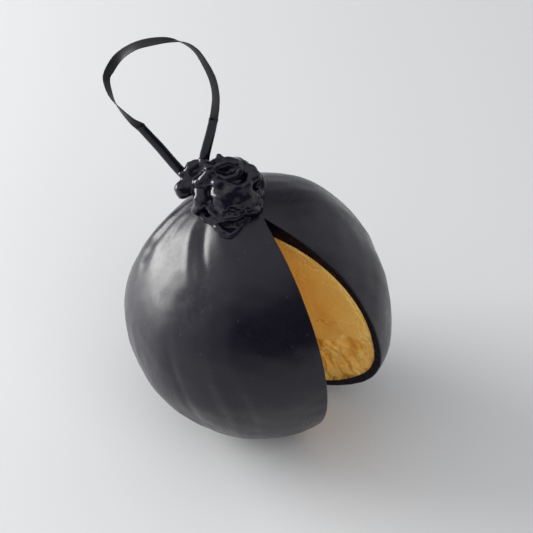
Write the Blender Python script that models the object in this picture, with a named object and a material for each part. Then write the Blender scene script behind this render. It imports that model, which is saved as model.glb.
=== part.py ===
"""A ball of cheddar in black wax, with a gathered knot, a ribbon loop and one wedge cut out.

The ball's centre is on the Z axis, above the origin. +X is the ball's right, -Y its front, where the
cut opens to the right. The ball stands on a small flat spot at z = 0.
"""

import math

import bmesh
import bpy
import numpy as np
from mathutils import Matrix, Vector

MM = 0.001

# The ball.
BALL_RADIUS = 45.0 * MM
CENTRE_HEIGHT = 44.0 * MM  # under the radius, so the wax is flat where it rests
WAX_THICKNESS = 2.7 * MM
WAX_AT_KNOT = 6.5 * MM  # how much thicker the wax is under the knot
WAX_SPREAD = math.radians(38)
FIT_GAP = 0.3 * MM  # between the wax and the cheese, and where the ribbon's ends meet the knot
CENTRE = Vector((0.0, 0.0, CENTRE_HEIGHT))
KNOT_AXIS = Vector((-0.19, 0.04, 0.98)).normalized()
NECK_RISE = 2.2 * MM
NECK_SPREAD = math.radians(15)

# Broad swells and hollows of a hand-dipped ball: direction, height, spread in degrees.
SWELLS = (
    ((-0.67, 0.52, 0.52), -2.4 * MM, 17),
    ((-0.87, 0.35, 0.35), -1.2 * MM, 13),
    ((0.92, 0.26, 0.27), -1.2 * MM, 13),
    ((0.92, -0.27, -0.27), 1.8 * MM, 16),
    ((0.39, 0.65, 0.65), 0.9 * MM, 16),
)

# Pleats that run down from the knot: turn about the knot's axis, height, half width and reach.
# Turn 0 is the ball's right, 90 its back, 180 its left and 270 its front.
PLEATS = (
    (8, 0.2 * MM, 9, 26),
    (42, -0.2 * MM, 8, 30),
    (70, 0.2 * MM, 10, 28),
    (104, -0.3 * MM, 8, 30),
    (131, 0.9 * MM, 9, 30),
    (158, 0.9 * MM, 8, 32),
    (173, -1.0 * MM, 6, 30),
    (190, 0.7 * MM, 9, 30),
    (209, -0.8 * MM, 6, 26),
    (224, 0.6 * MM, 7, 22),
    (250, -0.4 * MM, 8, 24),
)
PLEAT_PEAK = math.radians(24)  # how far from the knot's axis a pleat is highest

# The cut: two upright planes through the ball, which meet in a line behind its middle.
LEFT_FACE_NORMAL = Vector((0.898, 0.430, 0.093)).normalized()
LEFT_FACE_OFFSET = 3.7 * MM
RIGHT_FACE_NORMAL = Vector((0.526, 0.833, 0.173)).normalized()
RIGHT_FACE_OFFSET = 4.6 * MM
CUT_REACH = 90.0 * MM

# Mesh density.
SKIN_AROUND, SKIN_DOWN = 56, 30
INNER_AROUND, INNER_DOWN = 44, 22
KNOT_VOXEL = 1.4 * MM

# The knot's folds: the middle of each fold as (x, y, z, radius) in millimetres from the ball's centre.
CORE = ((-8, -1, 43, 8.5), (-8, 0, 47, 7.5), (-8, 0, 51, 7.0), (-8.5, 1, 55, 6.0))
FOLDS = (
    ((-15.5, 5, 57.5, 2), (-13, 5.5, 58.5, 2.2), (-10, 6, 59, 2.4), (-6.5, 6, 58.3, 2.2),
     (-4, 5, 56.8, 2), (-2.5, 3, 56.3, 1.8)),
    ((-14, 6.5, 57.5, 2), (-11, 7.5, 57.8, 2.2), (-7, 7.5, 57.2, 2.2), (-4, 6.5, 55.8, 2)),
    ((-12, 7.5, 60, 1.2), (-12, 7, 58.5, 1.4)),
    ((-4, 5.5, 57, 1.8), (-1.5, 5, 57, 1.8)),
    ((-1, 4, 55.5, 1.5), (0.5, 3, 54, 1.4), (1, 1.5, 52.5, 1.4), (0, -1, 52.5, 1.5)),
    ((0, -0.5, 51, 2), (0, -1.5, 49, 2), (0, -2, 46.5, 2)),
    ((-3.5, -2.5, 54, 3), (-4, -4, 52, 3.8), (-4.5, -5, 49.5, 3.4)),
    ((-14.5, -2.5, 55, 2), (-12.5, -5, 55, 2.3), (-9.5, -6.5, 54.5, 2.5), (-6, -6.5, 53.5, 2.5)),
    ((-8.5, 1.5, 59.5, 1.5), (-7, -2, 58.5, 1.5), (-5.5, -4, 57, 1.6), (-4.5, -5.5, 55, 1.8)),
    ((-16.5, 4.5, 56.5, 1.8), (-17.5, 3, 54.5, 2), (-18.5, 1.5, 52, 2), (-18.5, 0, 50, 2),
     (-18.5, -1.5, 47.5, 2), (-18.5, -2, 46, 2)),
    ((-15.5, 0, 56, 1.5), (-16.5, -0.5, 53.5, 1.6), (-16.5, -1, 50.5, 1.8), (-16, -4, 49, 1.6),
     (-14.5, -6, 47.5, 1.6)),
    ((-14, -5, 51.5, 2.6), (-11.5, -7, 51.5, 2.8), (-8, -8, 51, 2.6), (-6, -7.5, 49, 2.6)),
    ((-20, 6, 58.5, 1.9), (-22, 5, 57.5, 1.8), (-21, 3.5, 55.5, 1.8), (-19, 4.5, 56.5, 2.2),
     (-16, 4, 54, 2.6)),
    ((-24, 4.5, 56, 1.7), (-22, 4, 55, 1.8), (-23, 2.5, 54, 2), (-24, 1, 52, 3)),
    ((-17.5, 6.5, 59, 1.7), (-16.5, 5.5, 57.5, 2.2), (-13, 4, 55, 3)),
    ((-16, -2, 45, 2.2), (-14, -5, 43.5, 1.9), (-11.5, -8.5, 43, 1.9), (-9, -11, 43, 1.8),
     (-8, -12, 43, 1.7)),
    ((-13.5, -1.5, 44, 3.2), (-11, -5, 44.5, 3.2), (-9, -8, 44, 2.6), (-8, -10.5, 43.3, 2)),
    ((-3.5, -4, 46, 2.2), (-4.5, -6.5, 45, 2), (-6.5, -9.5, 44, 1.9), (-7.5, -11.5, 43.3, 1.7)),
    ((-3.5, -3.5, 46, 2), (-1, -3, 45.5, 1.8), (1, -2.5, 45, 1.7)),
)
# The folds of the back of the knot are much alike: turn, lean and radius, from its foot to its brim.
BACK_FOLDS = ((18, 6, 2.6), (50, -9, 2.4), (82, 8, 2.8), (112, -7, 2.4), (142, 6, 2.5), (168, -4, 2.0))
BACK_MIDDLE = (-8.5, 1.0)
BACK_HEIGHTS = (44.5, 48.0, 52.0, 56.0)
BACK_REACH = (9.0, 8.6, 7.6, 7.4)

# The ribbon's route, in millimetres, from the end of the left sleeve to the end of the right one.
RIBBON_ROUTE = (
    (-37.2, 9.6, 115.5), (-40.2, 10.2, 117.8), (-44.2, 11.2, 122.7), (-46.6, 12.2, 127.4),
    (-47.6, 13.3, 132.4), (-46.4, 14.0, 135.8), (-43.4, 14.9, 140.2), (-38.8, 15.6, 143.5),
    (-34.0, 16.0, 145.0), (-28.0, 16.1, 145.8), (-23.0, 15.9, 144.9), (-19.2, 15.4, 142.2),
    (-16.2, 14.3, 137.4), (-14.0, 13.3, 132.0), (-13.1, 12.2, 126.6), (-13.3, 11.1, 122.0),
    (-13.9, 10.2, 118.0),
)
RIBBON_WIDTH = 3.0 * MM
RIBBON_SPACING = 2.4  # of its widths, between the points of its curve
# The wax-dipped ends of the ribbon, in millimetres, from the knot to the free ribbon.
LEFT_SLEEVE = ((-21.6, 5.2, 95.8), (-26.5, 6.6, 101.7), (-31.6, 8.1, 108.5), (-37.2, 9.6, 115.5))
RIGHT_SLEEVE = ((-17.8, 6.6, 101.0), (-16.6, 7.8, 106.8), (-15.0, 9.2, 113.0), (-13.9, 10.2, 118.0))
SLEEVE_FOOT_RADIUS = 2.0 * MM
SLEEVE_END_RADIUS = 1.6 * MM
SLEEVE_SIDES = 10


def material(name, colour, roughness):
    made = bpy.data.materials.new(name)
    made.use_nodes = True
    shader = made.node_tree.nodes["Principled BSDF"]
    shader.inputs["Base Color"].default_value = (*colour, 1)
    shader.inputs["Roughness"].default_value = roughness
    shader.inputs["Metallic"].default_value = 0
    return made


def add_object(name, mesh, finish=None):
    made = bpy.data.objects.new(name, mesh)
    bpy.context.collection.objects.link(made)
    if finish:
        mesh.materials.append(finish)
    return made


def hide(helper):
    helper.hide_render = True
    helper.display_type = "WIRE"
    return helper


def angle_from(directions, axis):
    """The angle between each unit direction and the axis."""
    return np.arccos(np.clip(directions @ np.array(axis), -1, 1))


def outer_radius(directions):
    """The distance from the ball's centre to the outside of its wax, along each unit direction."""
    right = (Vector((1, 0, 0)) - KNOT_AXIS * KNOT_AXIS.x).normalized()
    back = KNOT_AXIS.cross(right)
    down = angle_from(directions, KNOT_AXIS)
    turn = np.degrees(np.arctan2(directions @ np.array(back), directions @ np.array(right)))
    radius = BALL_RADIUS + NECK_RISE * np.exp(-((down / NECK_SPREAD) ** 2))
    for direction, height, spread in SWELLS:
        angle = angle_from(directions, Vector(direction).normalized())
        radius += height * np.exp(-((angle / math.radians(spread)) ** 2))
    for place, height, half_width, reach in PLEATS:
        away = (turn - place + 180) % 360 - 180
        along = np.exp(-(((down - PLEAT_PEAK) / math.radians(reach)) ** 2))
        radius += height * along * np.exp(-((away / half_width) ** 2))
    return radius


def inner_radius(directions):
    """The distance from the ball's centre to the inside of its wax, along each unit direction."""
    thicker = np.exp(-((angle_from(directions, KNOT_AXIS) / WAX_SPREAD) ** 2))
    return outer_radius(directions) - WAX_THICKNESS - WAX_AT_KNOT * thicker


def ball_mesh(name, around, down, radius_of, inset=0):
    """A ball whose poles are on the knot's axis, with its skin this far inside the given radius."""
    mesh = bpy.data.meshes.new(name)
    shape = bmesh.new()
    bmesh.ops.create_uvsphere(shape, u_segments=around, v_segments=down, radius=1)
    bmesh.ops.rotate(shape, verts=shape.verts, matrix=KNOT_AXIS.to_track_quat("Z", "X").to_matrix())
    directions = np.array([vertex.co.normalized() for vertex in shape.verts])
    for vertex, direction, radius in zip(shape.verts, directions, radius_of(directions)):
        vertex.co = CENTRE + Vector(direction) * (radius - inset)
    shape.to_mesh(mesh)
    shape.free()
    return mesh


def fold_places():
    """Every fold of the knot, as a list of (place, radius) in metres."""
    chains = [CORE, *FOLDS]
    for turn, lean, radius in BACK_FOLDS:
        chain = []
        for step, (height, reach) in enumerate(zip(BACK_HEIGHTS, BACK_REACH)):
            angle = math.radians(turn + lean * (-1) ** step)
            x = BACK_MIDDLE[0] + reach * math.cos(angle)
            y = BACK_MIDDLE[1] + reach * math.sin(angle)
            chain.append((x, y, height, radius))
        chains.append(chain)
    for chain in chains:
        yield [(CENTRE + Vector(point[:3]) * MM, point[3] * MM) for point in chain]


def knot_mesh():
    """The gathered knot: beads along each fold, fused into one lumpy body."""
    shape = bmesh.new()
    for fold in fold_places():
        for (start, start_radius), (end, end_radius) in zip(fold, fold[1:]):
            steps = max(2, math.ceil((end - start).length / (0.4 * min(start_radius, end_radius))))
            for step in range(steps + 1):
                share = step / steps
                place = Matrix.Translation(start.lerp(end, share))
                radius = start_radius + (end_radius - start_radius) * share
                bmesh.ops.create_icosphere(shape, subdivisions=2, radius=radius, matrix=place)
    mesh = bpy.data.meshes.new("knot_beads")
    shape.to_mesh(mesh)
    shape.free()
    beads = hide(add_object("knot_beads", mesh))
    fuse = beads.modifiers.new("fuse", "REMESH")
    fuse.mode = "VOXEL"
    fuse.voxel_size = KNOT_VOXEL
    soften = beads.modifiers.new("soften", "SMOOTH")
    soften.factor = 0.5
    soften.iterations = 2
    graph = bpy.context.evaluated_depsgraph_get()
    return bpy.data.meshes.new_from_object(beads.evaluated_get(graph))


def sleeve_mesh(name, route):
    """A tapering wax sleeve: rings along the route, square to it, with a flat end for the ribbon."""
    points = [Vector(point) * MM for point in route]
    shape = bmesh.new()
    rings = []
    for index, point in enumerate(points):
        before, after = points[max(index - 1, 0)], points[min(index + 1, len(points) - 1)]
        turned = Vector((0, 0, 1)).rotation_difference(after - before)
        share = index / (len(points) - 1)
        radius = SLEEVE_FOOT_RADIUS + (SLEEVE_END_RADIUS - SLEEVE_FOOT_RADIUS) * share
        ring = []
        for side in range(SLEEVE_SIDES):
            angle = math.tau * side / SLEEVE_SIDES
            offset = turned @ Vector((radius * math.cos(angle), radius * math.sin(angle), 0))
            ring.append(shape.verts.new(point + offset))
        rings.append(ring)
    for lower, upper in zip(rings, rings[1:]):
        for side in range(SLEEVE_SIDES):
            following = (side + 1) % SLEEVE_SIDES
            shape.faces.new((lower[side], lower[following], upper[following], upper[side]))
    shape.faces.new(list(reversed(rings[0])))
    shape.faces.new(rings[-1])
    mesh = bpy.data.meshes.new(name)
    shape.to_mesh(mesh)
    shape.free()
    return mesh


def cut_mesh():
    """The wedge that was cut out: a prism between the two faces of the cut, open to the front right."""
    line = LEFT_FACE_NORMAL.cross(RIGHT_FACE_NORMAL).normalized()
    rows = Matrix((LEFT_FACE_NORMAL, RIGHT_FACE_NORMAL, line))
    apex = CENTRE + rows.inverted() @ Vector((LEFT_FACE_OFFSET, RIGHT_FACE_OFFSET, 0))
    along_left = LEFT_FACE_NORMAL.cross(line).normalized()
    along_right = RIGHT_FACE_NORMAL.cross(line).normalized()
    if along_left.y > 0:
        along_left.negate()
    if along_right.y > 0:
        along_right.negate()
    shape = bmesh.new()
    ends = []
    for side in (-1, 1):
        middle = apex + line * CUT_REACH * side
        corners = (middle, middle + along_left * CUT_REACH, middle + along_right * CUT_REACH)
        ends.append([shape.verts.new(corner) for corner in corners])
    bottom, top = ends
    shape.faces.new(bottom)
    shape.faces.new(list(reversed(top)))
    for index in range(3):
        following = (index + 1) % 3
        shape.faces.new((bottom[following], bottom[index], top[index], top[following]))
    bmesh.ops.recalc_face_normals(shape, faces=shape.faces)
    mesh = bpy.data.meshes.new("cut_wedge")
    shape.to_mesh(mesh)
    shape.free()
    return mesh


def floor_mesh():
    """What lies under the resting height, taken off so that the ball stands on a flat spot."""
    mesh = bpy.data.meshes.new("below_rest")
    shape = bmesh.new()
    size = 2 * BALL_RADIUS
    bmesh.ops.create_cube(shape, size=size, matrix=Matrix.Translation((0, 0, -size / 2)))
    shape.to_mesh(mesh)
    shape.free()
    return mesh


def smooth_curve(route, spacing):
    """Points every spacing metres or so along a smooth curve through the route's own points."""
    points = [Vector(point) * MM for point in route]
    ends = [2 * points[0] - points[1], *points, 2 * points[-1] - points[-2]]
    fine = []
    pieces = 24
    for before, start, end, after in zip(ends, ends[1:], ends[2:], ends[3:]):
        for step in range(pieces):
            t = step / pieces
            bend = 2 * before - 5 * start + 4 * end - after
            twist = 3 * (start - end) + after - before
            fine.append(0.5 * (2 * start + (end - before) * t + bend * t**2 + twist * t**3))
    fine.append(points[-1])
    length = sum((end - start).length for start, end in zip(fine, fine[1:]))
    count = round(length / spacing)
    wanted = [length * index / count for index in range(count + 1)]
    found, walked = [], 0.0
    for start, end in zip(fine, fine[1:]):
        step = (end - start).length
        while len(found) <= count and wanted[len(found)] <= walked + step + 1e-12:
            found.append(start.lerp(end, (wanted[len(found)] - walked) / step))
        walked += step
    return found


def trimmed(points, gap):
    """The same points, with both ends drawn in by the gap."""
    first = points[0] + (points[1] - points[0]).normalized() * gap
    last = points[-1] + (points[-2] - points[-1]).normalized() * gap
    return [first, *points[1:-1], last]


def boolean(target, operation, other):
    step = target.modifiers.new(f"{operation.lower()}_{other.name}", "BOOLEAN")
    step.operation = operation
    step.object = other


def make_wax_coat(finish, knot, cut, below):
    coat = add_object("wax_coat", ball_mesh("wax_coat", SKIN_AROUND, SKIN_DOWN, outer_radius), finish)
    hollow_mesh = ball_mesh("hollow", INNER_AROUND, INNER_DOWN, inner_radius)
    hollow = hide(add_object("hollow", hollow_mesh))
    boolean(coat, "UNION", knot)
    for removed in (hollow, cut, below):
        boolean(coat, "DIFFERENCE", removed)


def make_cheese(finish, cut):
    mesh = ball_mesh("cheese", INNER_AROUND, INNER_DOWN, inner_radius, FIT_GAP)
    boolean(add_object("cheese", mesh, finish), "DIFFERENCE", cut)


def make_ribbon_end(name, route, finish, knot_room):
    """One wax-dipped end of the ribbon, whose foot follows the knot's folds just clear of them."""
    boolean(add_object(name, sleeve_mesh(name, route), finish), "DIFFERENCE", knot_room)


def make_ribbon(finish):
    points = smooth_curve(RIBBON_ROUTE, RIBBON_SPACING * RIBBON_WIDTH)
    points = trimmed(points, FIT_GAP)
    curve = bpy.data.curves.new("ribbon", "CURVE")
    curve.dimensions = "3D"
    curve.bevel_depth = RIBBON_WIDTH / 2
    curve.bevel_resolution = 2
    curve.use_fill_caps = True
    line = curve.splines.new("POLY")
    line.points.add(len(points) - 1)
    for spot, point in zip(line.points, points):
        spot.co = (*point, 1)
    made = bpy.data.objects.new("ribbon", curve)
    bpy.context.collection.objects.link(made)
    curve.materials.append(finish)


for old in list(bpy.data.objects):
    bpy.data.objects.remove(old)

black_wax = material("black wax", (0.012, 0.011, 0.016), 0.3)
cheddar = material("cheddar", (0.80, 0.52, 0.20), 0.6)
black_satin = material("black satin ribbon", (0.015, 0.013, 0.017), 0.4)

knot_body = hide(add_object("knot", knot_mesh()))
knot_clearance = hide(add_object("knot_clearance", knot_body.data.copy()))
swell = knot_clearance.modifiers.new("swell", "DISPLACE")
swell.mid_level = 0
swell.strength = FIT_GAP
cut_wedge = hide(add_object("cut_wedge", cut_mesh()))
below_rest = hide(add_object("below_rest", floor_mesh()))
make_wax_coat(black_wax, knot_body, cut_wedge, below_rest)
make_cheese(cheddar, cut_wedge)
make_ribbon_end("ribbon_end_left", LEFT_SLEEVE, black_wax, knot_clearance)
make_ribbon_end("ribbon_end_right", RIGHT_SLEEVE, black_wax, knot_clearance)
make_ribbon(black_satin)
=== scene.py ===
# %% [markdown]
# # A ball of cheddar in black wax
# The thing on the table is a hand-made ball of golden cheddar. It was wrapped, gathered in a knot, hung
# on a loop of black satin ribbon and dipped in black wax until the coat was some millimetres thick. One
# wedge has been cut out with a knife, so the thick wax and the cheese show at the cut.
#
# The sizes below are the maker's: a ball of 90 mm, a coat of nearly 3 mm, a ribbon of 3 mm. We start
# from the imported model, which stays where it is, and dress it piece by piece.

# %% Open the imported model
import math

import bmesh
import bpy
import numpy as np
from mathutils import Matrix, Vector


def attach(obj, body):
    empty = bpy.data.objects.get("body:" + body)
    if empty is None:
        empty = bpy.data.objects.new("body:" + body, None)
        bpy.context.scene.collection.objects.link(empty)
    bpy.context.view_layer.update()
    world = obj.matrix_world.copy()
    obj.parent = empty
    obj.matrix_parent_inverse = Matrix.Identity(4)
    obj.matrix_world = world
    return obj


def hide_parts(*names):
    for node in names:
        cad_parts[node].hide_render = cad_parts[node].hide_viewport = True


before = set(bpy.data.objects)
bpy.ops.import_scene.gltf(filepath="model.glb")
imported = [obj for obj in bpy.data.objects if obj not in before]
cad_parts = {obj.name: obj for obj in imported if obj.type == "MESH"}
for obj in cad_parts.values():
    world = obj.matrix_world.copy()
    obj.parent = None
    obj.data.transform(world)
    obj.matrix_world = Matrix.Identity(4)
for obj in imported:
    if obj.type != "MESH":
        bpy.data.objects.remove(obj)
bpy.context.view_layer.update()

MM = 0.001
print("nodes in the model:", ", ".join(sorted(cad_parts)))

# %% [markdown]
# ## The camera and the light
# A food photographer stands over the table with a long lens, so the ball is seen from 45 degrees up with
# hardly any perspective. In Blender that is a camera 0.8 m away with a lens of about 160 mm. We place it
# first, because every finish is judged through it.
#
# Black wax shows nothing but reflections. So the light is built like a real studio: one square window to
# the left and a little behind, which draws the bright streak down the ball's left shoulder, a pale
# table, and a room that glows above, at the left and at the back right, and is dark in front. That dark
# side is what makes the wax look black and not grey. A world shader that only asks which way a ray goes
# can make such a room.

# %% Camera
CAMERA_HEIGHT_ANGLE = math.radians(45)
CAMERA_DISTANCE = 0.80
LENS = 159.4
BALL_MIDDLE = Vector((0, 0, 44.0 * MM))
LOOK_RIGHT = 3.05 * MM  # the camera looks a little right of, and above, the ball's middle
LOOK_UP = 13.2 * MM

to_camera = Vector((0, -math.cos(CAMERA_HEIGHT_ANGLE), math.sin(CAMERA_HEIGHT_ANGLE)))
picture_up = Vector((0, math.sin(CAMERA_HEIGHT_ANGLE), math.cos(CAMERA_HEIGHT_ANGLE)))
camera = bpy.data.objects.new("camera", bpy.data.cameras.new("camera"))
bpy.context.collection.objects.link(camera)
camera.data.lens = LENS
camera.location = BALL_MIDDLE + to_camera * CAMERA_DISTANCE
looked_at = BALL_MIDDLE + Vector((LOOK_RIGHT, 0, 0)) + picture_up * LOOK_UP
camera.rotation_euler = (looked_at - camera.location).to_track_quat("-Z", "Y").to_euler()
bpy.context.scene.camera = camera
bpy.context.scene.view_settings.view_transform = "Standard"
print("camera at", [round(value, 3) for value in camera.location])

# %% The studio
WINDOW_DISTANCE = 0.8
WINDOW_SIZE = (0.56, 0.56)
WINDOW_POWER = 12.0
WINDOW_TURN = math.radians(161)  # from +X towards +Y: to the left and a little behind the ball
WINDOW_HEIGHT_ANGLE = math.radians(14.5)
WINDOW_COLOUR = (1.0, 0.99, 0.97)
FILL_DISTANCE = 0.9
FILL_SIZE = (0.7, 0.7)
FILL_POWER = 2.9
FILL_TURN = math.radians(-62)
FILL_HEIGHT_ANGLE = math.radians(40)
FILL_COLOUR = (1.0, 0.98, 0.95)


def new_light(name, turn, height_angle, distance, size, power, colour):
    lamp = bpy.data.lights.new(name, "AREA")
    lamp.shape = "RECTANGLE"
    lamp.size, lamp.size_y = size
    lamp.energy = power
    lamp.color = colour
    holder = bpy.data.objects.new(name, lamp)
    bpy.context.collection.objects.link(holder)
    flat = math.cos(height_angle)
    way = Vector((flat * math.cos(turn), flat * math.sin(turn), math.sin(height_angle)))
    holder.location = BALL_MIDDLE + way * distance
    holder.rotation_euler = (-way).to_track_quat("-Z", "Y").to_euler()
    return holder


new_light("window", WINDOW_TURN, WINDOW_HEIGHT_ANGLE, WINDOW_DISTANCE, WINDOW_SIZE, WINDOW_POWER,
          WINDOW_COLOUR)
# The fill reaches into the cut and softens the shadow. It is kept out of reflections, so the wax stays black.
fill = new_light("front_fill", FILL_TURN, FILL_HEIGHT_ANGLE, FILL_DISTANCE, FILL_SIZE, FILL_POWER,
                 FILL_COLOUR)
fill.visible_glossy = False

ROOM_DARK = 0.08
GLOWS = (  # way to a bright part of the room, the cosines where its glow starts and is full, strength
    ((-0.10, 0.10, 1.0), 0.45, 1.0, 0.75),
    ((-0.95, -0.20, 0.20), 0.30, 0.95, 0.65),
    ((0.90, 0.42, 0.16), 0.70, 1.0, 0.75),
    ((0.10, 1.0, 0.20), 0.30, 1.0, 0.10),
)


def light_room(dark, glows):
    """A dark world with soft bright parts, by the direction of each ray."""
    world = bpy.data.worlds.new("room")
    bpy.context.scene.world = world
    world.use_nodes = True
    tree = world.node_tree
    way = tree.nodes.new("ShaderNodeTexCoord")
    total = None
    for direction, start, full, strength in glows:
        compare = tree.nodes.new("ShaderNodeVectorMath")
        compare.operation = "DOT_PRODUCT"
        compare.inputs[1].default_value = Vector(direction).normalized()
        tree.links.new(way.outputs["Generated"], compare.inputs[0])
        glow = tree.nodes.new("ShaderNodeMapRange")
        glow.interpolation_type = "SMOOTHSTEP"
        for socket, number in (("From Min", start), ("From Max", full), ("To Max", strength)):
            glow.inputs[socket].default_value = number
        tree.links.new(compare.outputs["Value"], glow.inputs["Value"])
        add = tree.nodes.new("ShaderNodeMath")
        add.inputs[1].default_value = dark
        tree.links.new(glow.outputs["Result"], add.inputs[0])
        if total:
            tree.links.new(total, add.inputs[1])
        total = add.outputs["Value"]
    tree.nodes["Background"].inputs["Color"].default_value = (0.95, 0.97, 1.0, 1)
    tree.links.new(total, tree.nodes["Background"].inputs["Strength"])


light_room(ROOM_DARK, GLOWS)

# %% The table
TABLE_HALF = 3.0
table_corners = [(x * TABLE_HALF, y * TABLE_HALF, 0) for x, y in ((-1, -1), (1, -1), (1, 1), (-1, 1))]
floor_mesh = bpy.data.meshes.new("table_top")
floor_mesh.from_pydata(table_corners, [], [(0, 1, 2, 3)])
floor = bpy.data.objects.new("table_top", floor_mesh)
bpy.context.collection.objects.link(floor)


def new_finish(name):
    """An empty node material with its shader, ready for textures."""
    finish = bpy.data.materials.new(name)
    finish.use_nodes = True
    return finish, finish.node_tree, finish.node_tree.nodes["Principled BSDF"]


def pale_table():
    finish, tree, shader = new_finish("pale_table")
    shader.inputs["Base Color"].default_value = (0.595, 0.60, 0.61, 1)
    shader.inputs["Roughness"].default_value = 0.55
    return finish


floor_mesh.materials.append(pale_table())

# %% [markdown]
# ## The shape of the dipped ball
# A ball made by hand is never a true sphere. It sags a little, its shoulder is hollow on one side, and
# pleats run down from the knot where the wrap was gathered. All of that could be sculpted, but then it
# would be hard to keep the wax, the cheese and the cut in step.
#
# So one function says how far the outside of the wax is from the ball's middle, in any direction. A
# sphere is the start, swells and pleats are added as soft bumps, and the inside of the wax is the same
# function less the thickness of the coat.

# %% How far out the wax reaches
BALL_RADIUS = 45.0 * MM
KNOT_AXIS = Vector((-0.19, 0.04, 0.98)).normalized()
NECK_RISE = 2.2 * MM
NECK_SPREAD = math.radians(15)
SWELLS = (  # direction, height, spread in degrees
    ((-0.67, 0.52, 0.52), -2.4 * MM, 17),
    ((-0.87, 0.35, 0.35), -1.2 * MM, 13),
    ((0.92, 0.26, 0.27), -1.2 * MM, 13),
    ((0.92, -0.27, -0.27), 1.8 * MM, 16),
    ((0.39, 0.65, 0.65), 0.9 * MM, 16),
)
PLEATS = (  # height and half width in mm, then the corners of its line as (turn, down) in degrees
    (-2.3, 3.4, ((142, 16), (151, 23), (160, 28), (168, 32), (176, 39), (183, 43), (190, 46))),
    (0.7, 4.5, ((158, 16), (172, 25), (184, 33), (194, 42))),
    (-0.50, 1.6, ((208, 10), (226, 17), (234, 22), (240, 27), (246, 33))),
    (0.35, 1.6, ((184, 12), (204, 18), (218, 24), (228, 31), (234, 38))),
    (0.42, 2.6, ((236, 9), (252, 16), (258, 22), (262, 28))),
    (-0.25, 1.5, ((176, 16), (184, 22), (194, 29), (202, 36))),
)
MIDDLE = np.array(BALL_MIDDLE)
KNOT_RIGHT = (Vector((1, 0, 0)) - KNOT_AXIS * KNOT_AXIS.x).normalized()
KNOT_BACK = KNOT_AXIS.cross(KNOT_RIGHT)


def angle_from(ways, axis):
    return np.arccos(np.clip(ways @ np.array(axis), -1, 1))


def turn_about_knot(ways):
    """The turn of each direction about the knot's axis, in degrees: 0 is right, 90 is back."""
    return np.degrees(np.arctan2(ways @ np.array(KNOT_BACK), ways @ np.array(KNOT_RIGHT)))


def way_at(turn, down):
    """The direction at this turn about the knot's axis and this angle down from it, in degrees."""
    turn, down = math.radians(turn), math.radians(down)
    level = KNOT_RIGHT * math.cos(turn) + KNOT_BACK * math.sin(turn)
    return KNOT_AXIS * math.cos(down) + level * math.sin(down)


def along_line(ways, corners, half_width):
    """1 on a line drawn on the ball through the corners, falling softly to 0 at its sides and ends."""
    places = ways * BALL_RADIUS
    marks = [np.array(way_at(*corner)) * BALL_RADIUS for corner in corners]
    best = np.zeros(len(ways))
    done, whole = 0.0, sum(np.linalg.norm(b - a) for a, b in zip(marks, marks[1:]))
    for start, end in zip(marks, marks[1:]):
        span = end - start
        share = np.clip((places - start) @ span / (span @ span), 0, 1)
        gap = np.linalg.norm(places - start - share[:, None] * span, axis=1)
        way_along = (done + share * np.linalg.norm(span)) / whole
        fade = np.sin(math.pi * np.clip(way_along * 0.92 + 0.04, 0, 1)) ** 0.6
        best = np.maximum(best, fade * np.exp(-((gap / half_width) ** 2)))
        done += np.linalg.norm(span)
    return best


def outer_radius(ways):
    down = angle_from(ways, KNOT_AXIS)
    radius = BALL_RADIUS + NECK_RISE * np.exp(-((down / NECK_SPREAD) ** 2))
    for way, height, spread in SWELLS:
        angle = angle_from(ways, Vector(way).normalized())
        radius += height * np.exp(-((angle / math.radians(spread)) ** 2))
    for height, half_width, corners in PLEATS:
        radius += height * MM * along_line(ways, corners, half_width * MM)
    return radius


WAX_THICKNESS = 2.7 * MM
WAX_AT_KNOT = 6.5 * MM
WAX_SPREAD = math.radians(38)
FIT_GAP = 0.3 * MM


def inner_radius(ways):
    thicker = np.exp(-((angle_from(ways, KNOT_AXIS) / WAX_SPREAD) ** 2))
    return outer_radius(ways) - WAX_THICKNESS - WAX_AT_KNOT * thicker


print("wax under the knot is", round((WAX_THICKNESS + WAX_AT_KNOT) / MM, 1), "mm thick")

# %% [markdown]
# ## Waviness
# Dipped wax keeps faint waves from the hands that turned it, and cut cheese is never flat either. A sum
# of a few dozen sine waves in random directions makes a smooth, even waviness of a chosen length. It is
# fast on thousands of points at once, and a fixed seed gives the same waves on every run.

# %% A function for waves
WAVES = 36


def waviness(points, length, seed):
    """Smooth random waves of about unit height and about this length, at each point."""
    random = np.random.default_rng(seed)
    ways = random.normal(size=(WAVES, 3))
    ways /= np.linalg.norm(ways, axis=1)[:, None]
    stretch = random.uniform(0.7, 1.5, WAVES) * math.tau / length
    phases = random.uniform(0, math.tau, WAVES)
    total = np.zeros(len(points))
    for way, pitch, phase in zip(ways, stretch, phases):
        total += np.sin(points @ way * pitch + phase)
    return total * math.sqrt(2 / WAVES)


# %% [markdown]
# ## The cut
# The knife went in twice beside the knot and straight down. Both cuts are planes, and they meet in a
# line a little behind the ball's middle. Seen along that line the ball is a cake with one slice gone.
#
# A Boolean could cut the slice, but its edges come out with long thin triangles that spoil soft
# reflections. Instead every skin is drawn like the segments of an orange around the line where the cuts
# meet. The first and the last segment then lie exactly in the two cuts, with clean even faces.

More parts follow.
